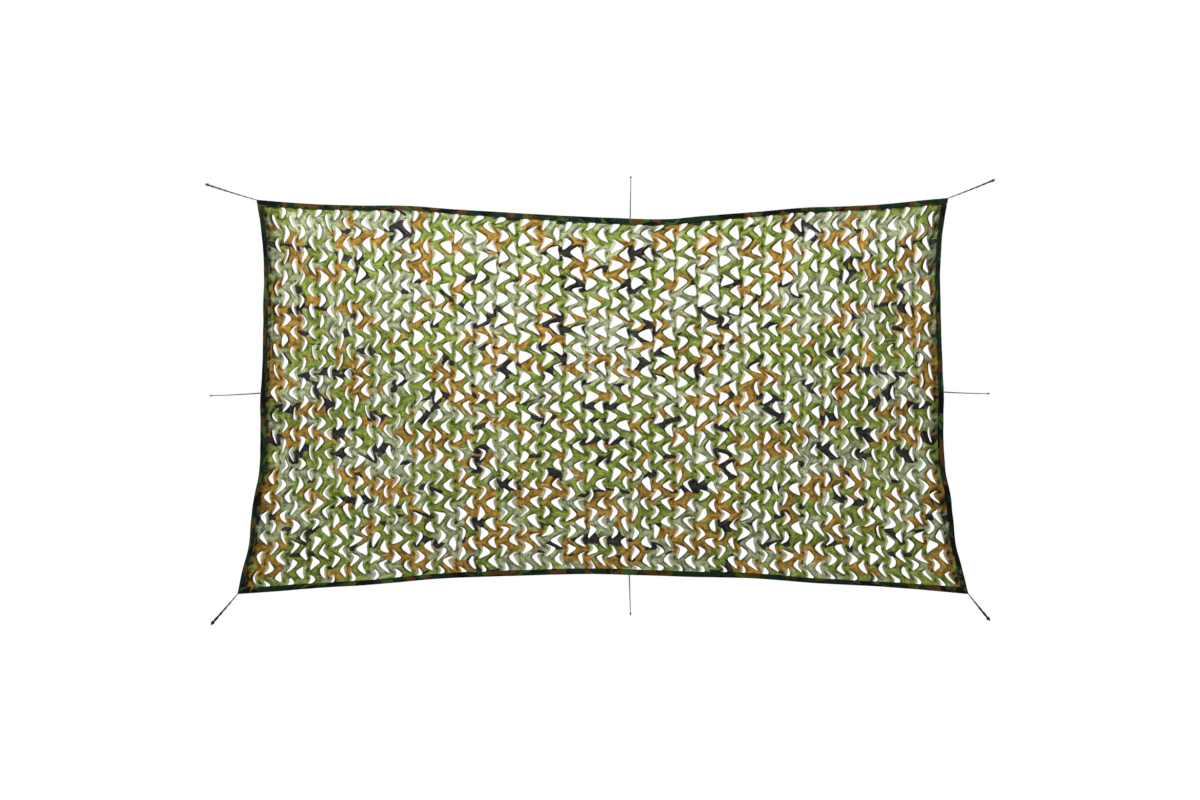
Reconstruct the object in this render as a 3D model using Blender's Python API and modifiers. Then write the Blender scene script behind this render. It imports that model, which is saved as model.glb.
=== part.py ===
"""Camouflage net: a slit cloth sheet pulled open into a net, bound with folded tape on its four edges
and held out by a tie at each corner and at the middle of each side.

It hangs in the XZ plane by its top edge and faces -Y. The origin is the middle of the top edge.
Lengths are in metres. "across" runs from 0 at the left edge to 1 at the right edge, and "down" runs
from 0 at the top edge to 1 at the bottom edge.
"""

import math

import bpy
import numpy as np
from mathutils import Vector

# Nominal size of the net, which turns a width of cloth into a share of "across" or "down"
NET_WIDE = 3.05
NET_TALL = 1.62

# Cloth and tape
CLOTH_THICK = 0.002
TAPE_THICK = 0.0012
TAPE_WIDE = 0.026  # on each face, as folded
CLEAR = 0.00035  # between neighbouring pieces
FOLD_CREST = 0.0009  # depth of the middle of the tape at its fold
FOLD_SHOULDER = 0.0030  # depth at which the folded tape has its full thickness
PANEL_INSET = 0.0036  # depth of the sheet's raw edge inside the tape

# Slits: columns stand side by side, each half a pitch lower or higher than its neighbours
COLUMNS = 35
HALF_ROWS = 18
SIDE_MARGIN = 0.052  # solid cloth outside the first and last column
TOP_MARGIN = 0.036  # solid cloth above the first row and under the last one
COLUMN_SWAY = 0.12  # how far a column's sides swing, in column widths
GATHER = 0.07  # columns are this much narrower at the sides, and wider in the middle
STRETCH = 0.08  # rows are this much taller at the top, and shorter at the bottom
OPENING_SCATTER = 0.18
CORNER_SCATTER = 0.025
SEED = 11
BORDER_LINES = 2  # of points outside the slit lines, at each edge

# Sag of a taut tie at its middle, and the steps of its round pieces
TIE_SAG = 0.0015
TIE_POINT_STEP = 2.6  # diameters between two points
KNOT_STEPS = 10
KNOT_MERGE = 0.00001

# The net's outline as it hangs
# x, z
TOP_EDGE = (
    (-1.514, 0.075),
    (-1.240, 0.058),
    (-1.060, 0.053),
    (-0.860, 0.052),
    (-0.630, 0.036),
    (-0.400, 0.021),
    (-0.190, 0.009),
    (0.000, 0.000),
    (0.160, -0.007),
    (0.290, -0.006),
    (0.420, 0.006),
    (0.680, 0.027),
    (0.860, 0.044),
    (1.030, 0.049),
    (1.210, 0.058),
    (1.380, 0.074),
    (1.501, 0.084),
)
# x, z
BOTTOM_EDGE = (
    (-1.597, -1.642),
    (-1.414, -1.631),
    (-1.239, -1.617),
    (-1.064, -1.607),
    (-0.715, -1.578),
    (-0.365, -1.564),
    (-0.015, -1.557),
    (0.160, -1.561),
    (0.334, -1.568),
    (0.684, -1.578),
    (0.859, -1.593),
    (1.208, -1.612),
    (1.383, -1.625),
    (1.588, -1.642),
)
# z, x
LEFT_EDGE = (
    (-1.642, -1.597),
    (-1.533, -1.575),
    (-1.428, -1.550),
    (-1.323, -1.543),
    (-1.218, -1.527),
    (-1.110, -1.506),
    (-1.000, -1.501),
    (-0.800, -1.500),
    (-0.640, -1.492),
    (-0.430, -1.488),
    (-0.170, -1.488),
    (-0.012, -1.501),
    (0.075, -1.514),
)
# z, x
RIGHT_EDGE = (
    (-1.642, 1.588),
    (-1.533, 1.562),
    (-1.428, 1.537),
    (-1.323, 1.527),
    (-1.218, 1.513),
    (-1.110, 1.492),
    (-1.000, 1.484),
    (-0.800, 1.483),
    (-0.640, 1.478),
    (-0.430, 1.471),
    (-0.170, 1.471),
    (-0.012, 1.484),
    (0.084, 1.501),
)

# How far the slits stand open, from 0 for a thin chevron to 1 for a wide triangle.
# The net is alike on its left and right, so the columns go from a side (0) to the middle (0.5).
OPENING_ACROSS = (0.00, 0.10, 0.22, 0.35, 0.50)
# down, then the opening at each place across
OPENING = (
    (0.05, 0.30, 0.55, 0.85, 1.00, 0.85),
    (0.20, 0.25, 0.40, 0.85, 1.00, 0.85),
    (0.35, 0.20, 0.30, 0.60, 0.90, 0.75),
    (0.50, 0.20, 0.25, 0.40, 0.65, 0.75),
    (0.65, 0.30, 0.35, 0.35, 0.50, 0.60),
    (0.80, 0.35, 0.50, 0.35, 0.35, 0.30),
    (0.95, 0.40, 0.50, 0.45, 0.45, 0.45),
)

# One slit whose vertex points left. Across is in column widths from the column's left side, up is in
# pitches from the vertex, and proud is how far the cloth curls forward there, in metres.
# corner, across when thin, across when open, up when thin, up when open, proud
SLIT = (
    ("vertex", 0.02, 0.00, 0.00, 0.00, -0.003),
    ("upper_tip", 0.42, 0.46, 0.36, 0.38, 0.000),
    ("tongue", 0.28, 0.76, 0.02, 0.08, 0.010),
    ("lower_inner", 0.93, 0.92, -0.33, -0.30, 0.003),
    ("lower_outer", 0.78, 0.66, -0.38, -0.38, -0.002),
)

# The belly of the hung sheet, and the folds that run into it from the ties and between them
BELLY = 0.035
# from across, from down, to across, to down, height towards the front, half width
FOLDS = (
    (0.00, 0.00, 0.22, 0.36, 0.018, 0.075),
    (1.00, 0.00, 0.78, 0.36, 0.018, 0.075),
    (0.00, 1.00, 0.20, 0.60, 0.022, 0.085),
    (1.00, 1.00, 0.80, 0.60, 0.022, 0.085),
    (0.54, 0.00, 0.53, 0.46, 0.016, 0.090),
    (0.54, 1.00, 0.53, 0.52, 0.016, 0.090),
    (0.00, 0.50, 0.19, 0.48, 0.015, 0.070),
    (1.00, 0.50, 0.81, 0.48, 0.015, 0.070),
    (0.27, 0.00, 0.29, 0.34, -0.016, 0.130),
    (0.77, 0.00, 0.75, 0.34, -0.016, 0.130),
    (0.28, 1.00, 0.30, 0.68, -0.014, 0.120),
    (0.76, 1.00, 0.74, 0.68, -0.014, 0.120),
    (0.00, 0.25, 0.11, 0.27, 0.010, 0.055),
    (1.00, 0.26, 0.89, 0.28, 0.010, 0.055),
    (0.00, 0.76, 0.12, 0.73, 0.011, 0.055),
    (1.00, 0.75, 0.88, 0.72, 0.011, 0.055),
)

# Where each tie leaves the net, where it ends, and how thick it is. A corner tie is a doubled cord,
# which spreads from one cord's width at the net to two at its knot. A tie at the middle of a side is a
# single cord, stretched thinner towards its knot.
# place, across, down, end x, end z, thick at the net, thick at the knot, knot's length, knot's width
TIES = (
    ("top_left", 0.00, 0.0, -1.7395, 0.1450, 0.0045, 0.0095, 0.022, 0.0140),
    ("top_middle", 0.54, 0.0, 0.1170, 0.1825, 0.0058, 0.0042, 0.014, 0.0090),
    ("top_right", 1.00, 0.0, 1.7070, 0.1650, 0.0045, 0.0095, 0.022, 0.0140),
    ("left_middle", 0.00, 0.49, -1.7220, -0.7780, 0.0058, 0.0042, 0.014, 0.0090),
    ("right_middle", 1.00, 0.49, 1.6840, -0.7690, 0.0058, 0.0042, 0.014, 0.0090),
    ("bottom_left", 0.00, 1.0, -1.7145, -1.7780, 0.0045, 0.0120, 0.024, 0.0165),
    ("bottom_middle", 0.536, 1.0, 0.1155, -1.7360, 0.0058, 0.0042, 0.014, 0.0090),
    ("bottom_right", 1.00, 1.0, 1.6830, -1.7600, 0.0045, 0.0120, 0.024, 0.0165),
)
# A knot's profile: share of its length, share of its half width. Two turns with a waist between them.
KNOT_PROFILE = (
    (0.00, 0.50),
    (0.08, 0.78),
    (0.28, 1.00),
    (0.48, 0.84),
    (0.68, 0.98),
    (0.90, 0.72),
    (1.00, 0.40),
)

# finish, colour in linear red, green and blue, roughness
FINISHES = {
    "printed cloth": ((0.27, 0.38, 0.05), 0.8),
    "printed tape": ((0.014, 0.042, 0.016), 0.75),
    "tie cord": ((0.30, 0.31, 0.25), 0.6),
    "knotted end": ((0.03, 0.03, 0.02), 0.7),
}


def smooth_line(table, where):
    """Column 1 of a two-column table at the places `where` of column 0, on a cubic through its rows."""
    x, y = np.array(table).T
    slope = np.gradient(y, x)
    row = np.clip(np.searchsorted(x, where, side="right") - 1, 0, len(x) - 2)
    step = x[row + 1] - x[row]
    t = (where - x[row]) / step
    keep = 2 * t**3 - 3 * t**2 + 1
    leave = (t**3 - 2 * t**2 + t) * step * slope[row]
    arrive = (t**3 - t**2) * step * slope[row + 1]
    return keep * y[row] + (1 - keep) * y[row + 1] + leave + arrive


def outline(across, down):
    """X and Z of the hung sheet: the four edge lines blended over it."""
    top_x = TOP_EDGE[0][0] + across * (TOP_EDGE[-1][0] - TOP_EDGE[0][0])
    bottom_x = BOTTOM_EDGE[0][0] + across * (BOTTOM_EDGE[-1][0] - BOTTOM_EDGE[0][0])
    left_z = LEFT_EDGE[-1][0] + down * (LEFT_EDGE[0][0] - LEFT_EDGE[-1][0])
    right_z = RIGHT_EDGE[-1][0] + down * (RIGHT_EDGE[0][0] - RIGHT_EDGE[-1][0])
    top = np.stack((top_x, smooth_line(TOP_EDGE, top_x)), -1)
    bottom = np.stack((bottom_x, smooth_line(BOTTOM_EDGE, bottom_x)), -1)
    left = np.stack((smooth_line(LEFT_EDGE, left_z), left_z), -1)
    right = np.stack((smooth_line(RIGHT_EDGE, right_z), right_z), -1)
    a, d = across[..., None], down[..., None]
    upper = (1 - a) * np.array(TOP_EDGE[0]) + a * np.array(TOP_EDGE[-1])
    lower = (1 - a) * np.array(BOTTOM_EDGE[0]) + a * np.array(BOTTOM_EDGE[-1])
    between_rails = (1 - d) * top + d * bottom
    between_sides = (1 - a) * left + a * right
    return between_rails + between_sides - (1 - d) * upper - d * lower


def proud(across, down):
    """How far the sheet stands towards the front: its belly plus every fold. Under the tape it keeps
    the height that it has at the tape's inner side, so that the bound edge is flat across its width."""
    margin = TAPE_WIDE + FOLD_SHOULDER
    x = np.clip(across, margin / NET_WIDE, 1 - margin / NET_WIDE) * NET_WIDE
    y = np.clip(down, margin / NET_TALL, 1 - margin / NET_TALL) * NET_TALL
    height = BELLY * np.sin(math.pi * x / NET_WIDE) * np.sin(math.pi * y / NET_TALL)
    for from_a, from_d, to_a, to_d, high, half_wide in FOLDS:
        start = np.array((from_a * NET_WIDE, from_d * NET_TALL))
        run = np.array((to_a * NET_WIDE, to_d * NET_TALL)) - start
        long = np.hypot(*run)
        ahead = ((x - start[0]) * run[0] + (y - start[1]) * run[1]) / long**2
        aside = ((x - start[0]) * run[1] - (y - start[1]) * run[0]) / long
        fade = np.cos(np.clip(ahead, 0, 1) * math.pi / 2) ** 2
        height = height + high * fade * np.exp(-((aside / half_wide) ** 2))
    return height


def hung(across, down, lift=0.0):
    """Points of the hung sheet, moved towards the front by lift."""
    across, down = np.broadcast_arrays(np.asarray(across, float), np.asarray(down, float))
    flat = outline(across, down)
    return np.stack((flat[..., 0], -proud(across, down) - lift, flat[..., 1]), -1)


def slit_lines():
    """Where the sides of the columns lie across, and the half rows down."""
    share = np.linspace(0, 1, COLUMNS + 1)
    share = share - GATHER * np.sin(2 * math.pi * share) / (2 * math.pi)
    side = SIDE_MARGIN / NET_WIDE
    fall = np.linspace(0, 1, HALF_ROWS + 1)
    fall = fall + STRETCH * fall * (1 - fall)
    top = TOP_MARGIN / NET_TALL
    return side + share * (1 - 2 * side), top + fall * (1 - 2 * top)


def edge_lines(lines, size):
    """Slit lines, with the raw edge and the tape's inner side added at both ends."""
    outer = np.array((PANEL_INSET, TAPE_WIDE + FOLD_SHOULDER)) / size
    return np.concatenate((outer, lines, 1 - outer[::-1]))


def material(name):
    """A plain finish from the table."""
    colour, roughness = FINISHES[name]
    made = bpy.data.materials.new(name)
    made.use_nodes = True
    shader = made.node_tree.nodes["Principled BSDF"]
    shader.inputs["Base Color"].default_value = (*colour, 1)
    shader.inputs["Roughness"].default_value = roughness
    shader.inputs["Metallic"].default_value = 0.0
    return made


def cloth_object(name, points, faces, thick, creased, finish):
    """An object of the open surface through the points, thickened to both sides. Creased cloth keeps its
    thickness round its creases."""
    mesh = bpy.data.meshes.new(name)
    mesh.from_pydata([tuple(p) for p in points], [], faces)
    mesh.materials.append(finish)
    made = bpy.data.objects.new(name, mesh)
    wall = made.modifiers.new("wall", "SOLIDIFY")
    wall.thickness = thick
    wall.offset = 0
    wall.use_even_offset = creased
    net.objects.link(made)


def grid_faces(number):
    """Four-sided faces between neighbouring points of a 2-D array of point numbers, facing the front."""
    corners = (number[:-1, :-1], number[1:, :-1], number[1:, 1:], number[:-1, 1:])
    return [tuple(int(n) for n in face) for face in zip(*(c.ravel() for c in corners))]


def opening_at(across, down):
    """How far open the slits are at a place, from the table."""
    table = np.array(OPENING)
    to_side = 0.5 - abs(across - 0.5)
    by_row = [np.interp(to_side, OPENING_ACROSS, row[1:]) for row in table]
    return np.interp(down, table[:, 0], by_row)


def slit_cell(column, row, number, first_slit):
    """The faces of one cell around its slit, whose five points start at first_slit.

    The cell has six corners: three on each side of its column, a half row apart. A cell whose slit
    points right is the same one turned over, so its faces run the other way round.
    """
    near, far = (column, column + 1) if column % 2 == 0 else (column + 1, column)
    top_near, side_near, low_near = (int(number[row + step, near]) for step in (0, 1, 2))
    top_far, side_far, low_far = (int(number[row + step, far]) for step in (0, 1, 2))
    vertex, upper_tip, tongue, lower_inner, lower_outer = range(first_slit, first_slit + len(SLIT))
    faces = (
        (side_near, vertex, upper_tip, top_near),
        (top_near, upper_tip, top_far),
        (top_far, upper_tip, tongue),
        (top_far, tongue, side_far),
        (side_far, tongue, lower_inner),
        (side_far, lower_inner, low_far),
        (low_far, lower_inner, lower_outer, low_near),
        (low_near, lower_outer, vertex, side_near),
    )
    return [face[::-1] for face in faces] if column % 2 else faces


def net_panel(finish):
    """The slit sheet: a border of plain cloth, and one cell for each slit."""
    across_lines, down_lines = slit_lines()
    across, down = np.meshgrid(edge_lines(across_lines, NET_WIDE), edge_lines(down_lines, NET_TALL))
    inner = slice(BORDER_LINES, -BORDER_LINES)
    sway = COLUMN_SWAY * np.where(np.arange(HALF_ROWS + 1) % 2, -1, 1)[:, None]
    place = np.arange(COLUMNS + 1) + sway
    across[inner, inner] = np.interp(place, np.arange(COLUMNS + 1), across_lines)
    points = list(hung(across, down).reshape(-1, 3))
    number = np.arange(across.size).reshape(across.shape)

    taken = np.zeros((across.shape[0] - 1, across.shape[1] - 1), bool)
    taken_inner = taken[inner, inner]
    thin_a, open_a, thin_up, open_up, curl = np.array([corner[1:] for corner in SLIT]).T
    faces = []
    scatter = np.random.default_rng(SEED)
    for column in range(COLUMNS):
        first_row = 0 if column % 2 == 0 else 1
        for row in range(first_row, HALF_ROWS - 1, 2):
            opening = opening_at(across_lines[column], down_lines[row + 1])
            opening = np.clip(opening + OPENING_SCATTER * scatter.uniform(-1, 1), 0, 1)
            along = thin_a + opening * (open_a - thin_a)
            along = along + CORNER_SCATTER * scatter.uniform(-1, 1, len(SLIT))
            up = thin_up + opening * (open_up - thin_up)
            if column % 2:
                along = 1 - along
            slit_across = np.interp(column + along, np.arange(COLUMNS + 1), across_lines)
            slit_down = np.interp(row + 1 - 2 * up, np.arange(HALF_ROWS + 1), down_lines)
            faces += slit_cell(column, row, number[inner, inner], len(points))
            points += list(hung(slit_across, slit_down, curl))
            taken_inner[row : row + 2, column] = True
    faces += [face for face, slit in zip(grid_faces(number), taken.ravel()) if not slit]
    cloth_object("net_panel", points, faces, CLOTH_THICK, False, finish)


def edge_place(side, along, depth):
    """Across and down of a point at a share along one edge, at a depth in from it."""
    if side in ("top", "bottom"):
        down = depth / NET_TALL
        return along, down if side == "top" else 1 - down
    across = depth / NET_WIDE
    return across if side == "left" else 1 - across, along


def binding(side, finish):
    """The tape on one edge: a line folded round the sheet's raw edge, carried along the edge. The top and
    bottom tapes run from corner to corner, and the side tapes butt against them."""
    if side in ("top", "bottom"):
        lines, size, first = slit_lines()[0], NET_WIDE, 0.0
    else:
        lines, size, first = slit_lines()[1], NET_TALL, (TAPE_WIDE + CLEAR) / NET_TALL
    inner_side = (TAPE_WIDE + FOLD_SHOULDER) / size
    along = np.concatenate(((first, inner_side), lines, (1 - inner_side, 1 - first)))
    half_gap = CLOTH_THICK / 2 + CLEAR + TAPE_THICK / 2
    # depth in from the edge, towards the front
    line = np.array(
        (
            (TAPE_WIDE, half_gap),
            (FOLD_SHOULDER, half_gap),
            (FOLD_CREST, 0.0),
            (FOLD_SHOULDER, -half_gap),
            (TAPE_WIDE, -half_gap),
        )
    )
    depth, front = line[:, 0], line[:, 1]
    across, down = edge_place(side, np.tile(along, (len(line), 1)), depth[:, None])
    points = hung(across, down)
    lengthwise = np.gradient(points, axis=1)
    inwards = points[0] - points[2]
    outwards = np.cross(lengthwise, inwards[None])
    outwards /= np.linalg.norm(outwards, axis=2, keepdims=True)
    outwards *= -np.sign(outwards[..., 1:2])
    points = points + outwards * front[:, None, None]
    number = np.arange(points.shape[0] * points.shape[1]).reshape(points.shape[:2])
    faces = grid_faces(number)
    if side in ("bottom", "left"):
        faces = [face[::-1] for face in faces]
    cloth_object(f"binding_{side}", points.reshape(-1, 3), faces, TAPE_THICK, True, finish)


def edge_point(across, down):
    """A point on the bound edge, which runs straight between the slit lines that meet it."""
    upright = across in (0, 1)
    stops = np.concatenate(((0,), slit_lines()[1 if upright else 0], (1,)))
    points = hung(across, stops) if upright else hung(stops, down)
    return Vector([np.interp(down if upright else across, stops, column) for column in points.T])


def tie(place, across, down, end_x, end_z, net_thick, knot_thick, knot_long, knot_wide):
    """A taut cord from the bound edge to its knot, and the knot."""
    start = edge_point(across, down)
    end = Vector((end_x, start.y, end_z))
    direction = (end - start).normalized()
    start = start + direction * CLEAR
    knot_start = end - direction * knot_long
    stop = knot_start - direction * CLEAR

    count = math.ceil((stop - start).length / (TIE_POINT_STEP * (net_thick + knot_thick) / 2)) + 1
    curve = bpy.data.curves.new(f"cord_{place}", "CURVE")
    curve.dimensions = "3D"
    curve.bevel_depth = 1.0
    curve.bevel_resolution = 2
    curve.use_fill_caps = True
    spline = curve.splines.new("POLY")
    spline.points.add(count - 1)
    for point, share in zip(spline.points, np.linspace(0, 1, count)):
        sag = 4 * TIE_SAG * share * (1 - share) * abs(direction.x)
        point.co = (*(start.lerp(stop, share) - Vector((0, 0, sag))), 1)
        point.radius = (net_thick + share * (knot_thick - net_thick)) / 2
    curve.materials.append(cord_finish)
    net.objects.link(bpy.data.objects.new(f"cord_{place}", curve))

    profile = [(0.0, 0.0), *((wide * knot_wide / 2, share * knot_long) for share, wide in KNOT_PROFILE)]
    profile.append((0.0, knot_long))
    profile.reverse()
    mesh = bpy.data.meshes.new(f"knot_{place}")
    links = [(n, n + 1) for n in range(len(profile) - 1)]
    mesh.from_pydata([(x, 0, z) for x, z in profile], links, [])
    mesh.materials.append(knot_finish)
    knot = bpy.data.objects.new(f"knot_{place}", mesh)
    turn = knot.modifiers.new("turn", "SCREW")
    turn.steps = KNOT_STEPS
    turn.render_steps = KNOT_STEPS
    turn.use_merge_vertices = True
    turn.merge_threshold = KNOT_MERGE
    knot.location = knot_start
    knot.rotation_euler = direction.to_track_quat("Z", "Y").to_euler()
    net.objects.link(knot)


for old in list(bpy.data.objects):
    bpy.data.objects.remove(old)
net = bpy.data.collections.new("camouflage_net")
bpy.context.scene.collection.children.link(net)

net_panel(material("printed cloth"))
tape = material("printed tape")
for edge in ("top", "bottom", "left", "right"):
    binding(edge, tape)
cord_finish, knot_finish = material("tie cord"), material("knotted end")
for row in TIES:
    tie(*row)
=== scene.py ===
# %% [markdown]
# # A camouflage net held out by its ties
# Such a net is one sheet of printed polyester. Rows of V-shaped slits are cut in it, and pulled out, each slit
# gapes and its tongue curls towards the viewer. Folded tape is sewn round the raw edges, and cords hold the net
# out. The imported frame, with the real sizes, comes first.

# %% Load the frame
import math

import bmesh
import bpy
import numpy as np
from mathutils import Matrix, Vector


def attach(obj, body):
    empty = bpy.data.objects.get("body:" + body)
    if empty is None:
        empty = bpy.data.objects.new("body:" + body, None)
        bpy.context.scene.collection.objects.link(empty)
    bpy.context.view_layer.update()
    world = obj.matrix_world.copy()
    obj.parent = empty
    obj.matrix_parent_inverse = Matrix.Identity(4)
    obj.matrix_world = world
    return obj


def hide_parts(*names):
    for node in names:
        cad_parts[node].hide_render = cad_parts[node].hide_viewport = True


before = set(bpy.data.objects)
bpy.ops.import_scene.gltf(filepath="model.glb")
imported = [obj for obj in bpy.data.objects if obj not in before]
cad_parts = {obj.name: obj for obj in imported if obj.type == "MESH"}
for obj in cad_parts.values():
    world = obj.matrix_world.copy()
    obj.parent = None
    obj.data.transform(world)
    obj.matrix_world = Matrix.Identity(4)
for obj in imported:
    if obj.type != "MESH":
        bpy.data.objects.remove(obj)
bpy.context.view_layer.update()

# %% [markdown]
# ## The camera
# It looks square on, from a distance that follows from the lens and from the width that the picture covers.

# %% Camera
PICTURE_WIDE, PICTURE_TALL = 1200, 800  # pixels
PIXEL = 0.00437  # metres of net in one pixel
ORIGIN_PIXEL = (604.0, 217.7)  # where the middle of the net's top edge lies
LENS, SENSOR = 60.0, 36.0  # millimetres

camera = bpy.data.objects.new("camera", bpy.data.cameras.new("camera"))
camera.data.lens = LENS
camera.data.sensor_width = SENSOR
camera.location = (
    (PICTURE_WIDE / 2 - ORIGIN_PIXEL[0]) * PIXEL,
    -PICTURE_WIDE * PIXEL * LENS / SENSOR,
    (ORIGIN_PIXEL[1] - PICTURE_TALL / 2) * PIXEL,
)
camera.rotation_euler = (math.radians(90), 0, 0)
bpy.context.collection.objects.link(camera)
bpy.context.scene.camera = camera
print("camera:", [round(v, 3) for v in camera.location])

# %% [markdown]
# ## Where the hung net lies
# Cloth held at eight points has shallow curves between them, a slight belly, and soft folds from the ties. The
# frame's sheet has the same tables. "Across" goes from 0 at the left edge to 1, and "down" from 0 at the top.

# %% Outline and folds
NET_WIDE, NET_TALL = 3.05, 1.62  # turn metres of cloth into shares of across and down

# x, z
TOP_EDGE = (
    (-1.514, 0.075), (-1.240, 0.058), (-1.060, 0.053), (-0.860, 0.052), (-0.630, 0.036), (-0.400, 0.021),
    (-0.190, 0.009), (0.000, 0.000), (0.160, -0.007), (0.290, -0.006), (0.420, 0.006), (0.680, 0.027),
    (0.860, 0.044), (1.030, 0.049), (1.210, 0.058), (1.380, 0.074), (1.501, 0.084),
)
# x, z
BOTTOM_EDGE = (
    (-1.597, -1.642), (-1.414, -1.631), (-1.239, -1.617), (-1.064, -1.607), (-0.715, -1.578),
    (-0.365, -1.564), (-0.015, -1.557), (0.160, -1.561), (0.334, -1.568), (0.684, -1.578),
    (0.859, -1.593), (1.208, -1.612), (1.383, -1.625), (1.588, -1.642),
)
# z, x
LEFT_EDGE = (
    (-1.642, -1.597), (-1.533, -1.575), (-1.428, -1.550), (-1.323, -1.543), (-1.218, -1.527),
    (-1.110, -1.506), (-1.000, -1.501), (-0.800, -1.500), (-0.640, -1.492), (-0.430, -1.488),
    (-0.170, -1.488), (-0.012, -1.501), (0.075, -1.514),
)
# z, x
RIGHT_EDGE = (
    (-1.642, 1.588), (-1.533, 1.562), (-1.428, 1.537), (-1.323, 1.527), (-1.218, 1.513),
    (-1.110, 1.492), (-1.000, 1.484), (-0.800, 1.483), (-0.640, 1.478), (-0.430, 1.471),
    (-0.170, 1.471), (-0.012, 1.484), (0.084, 1.501),
)
BELLY = 0.035
# from across, from down, to across, to down, height towards the front, half width
FOLDS = (
    (0.00, 0.00, 0.22, 0.36, 0.018, 0.075),
    (1.00, 0.00, 0.78, 0.36, 0.018, 0.075),
    (0.00, 1.00, 0.20, 0.60, 0.022, 0.085),
    (1.00, 1.00, 0.80, 0.60, 0.022, 0.085),
    (0.54, 0.00, 0.53, 0.46, 0.016, 0.090),
    (0.54, 1.00, 0.53, 0.52, 0.016, 0.090),
    (0.00, 0.50, 0.19, 0.48, 0.015, 0.070),
    (1.00, 0.50, 0.81, 0.48, 0.015, 0.070),
    (0.27, 0.00, 0.29, 0.34, -0.016, 0.130),
    (0.77, 0.00, 0.75, 0.34, -0.016, 0.130),
    (0.28, 1.00, 0.30, 0.68, -0.014, 0.120),
    (0.76, 1.00, 0.74, 0.68, -0.014, 0.120),
    (0.00, 0.25, 0.11, 0.27, 0.010, 0.055),
    (1.00, 0.26, 0.89, 0.28, 0.010, 0.055),
    (0.00, 0.76, 0.12, 0.73, 0.011, 0.055),
    (1.00, 0.75, 0.88, 0.72, 0.011, 0.055),
)


def mixed(start, end, share):
    """start + share * (end - start)."""
    return start + share * (end - start)


def smooth_line(table, where):
    """Column 1 of a table at places in column 0, on a cubic Hermite curve through its rows."""
    x, y = np.array(table).T
    slope = np.gradient(y, x)
    row = np.clip(np.searchsorted(x, where, side="right") - 1, 0, len(x) - 2)
    step = x[row + 1] - x[row]
    t = (where - x[row]) / step
    keep = 2 * t**3 - 3 * t**2 + 1
    leave = (t**3 - 2 * t**2 + t) * step * slope[row]
    arrive = (t**3 - t**2) * step * slope[row + 1]
    return keep * y[row] + (1 - keep) * y[row + 1] + leave + arrive


def outline(across, down):
    """X and Z of the hung sheet, a Coons patch: the top and bottom lines mixed by `down`, plus the side lines
    mixed by `across`, less the corners mixed by both."""
    top_x, bottom_x = (mixed(edge[0][0], edge[-1][0], across) for edge in (TOP_EDGE, BOTTOM_EDGE))
    left_z, right_z = (mixed(edge[-1][0], edge[0][0], down) for edge in (LEFT_EDGE, RIGHT_EDGE))
    top = np.stack((top_x, smooth_line(TOP_EDGE, top_x)), -1)
    bottom = np.stack((bottom_x, smooth_line(BOTTOM_EDGE, bottom_x)), -1)
    left = np.stack((smooth_line(LEFT_EDGE, left_z), left_z), -1)
    right = np.stack((smooth_line(RIGHT_EDGE, right_z), right_z), -1)
    a, d = across[..., None], down[..., None]
    upper = (1 - a) * np.array(TOP_EDGE[0]) + a * np.array(TOP_EDGE[-1])
    lower = (1 - a) * np.array(BOTTOM_EDGE[0]) + a * np.array(BOTTOM_EDGE[-1])
    return (1 - d) * top + d * bottom + (1 - a) * left + a * right - (1 - d) * upper - d * lower


print("outline:", sum(map(len, (TOP_EDGE, BOTTOM_EDGE, LEFT_EDGE, RIGHT_EDGE))), "points,", len(FOLDS), "folds")

# %% [markdown]
# Tape sewn along a loose net gathers it: small puckers fade into the cloth, and upright folds lie beside the
# side tapes. Two sines of unlike lengths make waves without a visible repeat.

# %% Puckers and the whole hung surface
TAPE_WIDE = 0.026  # on each face, as folded
UNDER_TAPE = 0.029  # depth over which the sheet is flat, under the tape
# height, reach into the cloth, two lengths along the edge
RAIL_PUCKER = (0.0022, 0.070, 0.173, 0.097)
SIDE_PUCKER = (0.0035, 0.080, 0.139, 0.081)
LONG_SHARE = 0.6  # of a pucker's height is in the longer wave
BUNCH_HEIGHT, BUNCH_REACH, BUNCH_LENGTH = 0.0045, 0.050, 0.041  # upright folds at the sides
BUNCH_DRIFT, BUNCH_DRIFT_LENGTH = 1.3, 0.47  # radians, and in which length


def pucker(depth, along, shape, start):
    """Waves along one edge: two sines added, times exp(-depth / reach)."""
    height, reach, long, short = shape
    first, second = np.sin(2 * math.pi * along / long + start), np.sin(2 * math.pi * along / short - 2 * start)
    wave = LONG_SHARE * first + (1 - LONG_SHARE) * second
    return height * np.exp(-(depth - UNDER_TAPE) / reach) * wave


def bunch(depth, along, start):
    """Upright folds beside a side tape: a sine of the depth whose start drifts along the edge."""
    drift = start + BUNCH_DRIFT * np.sin(2 * math.pi * along / BUNCH_DRIFT_LENGTH + start)
    return BUNCH_HEIGHT * np.exp(-(depth - UNDER_TAPE) / BUNCH_REACH) * np.sin(
        2 * math.pi * (depth - UNDER_TAPE) / BUNCH_LENGTH + drift)


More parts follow.
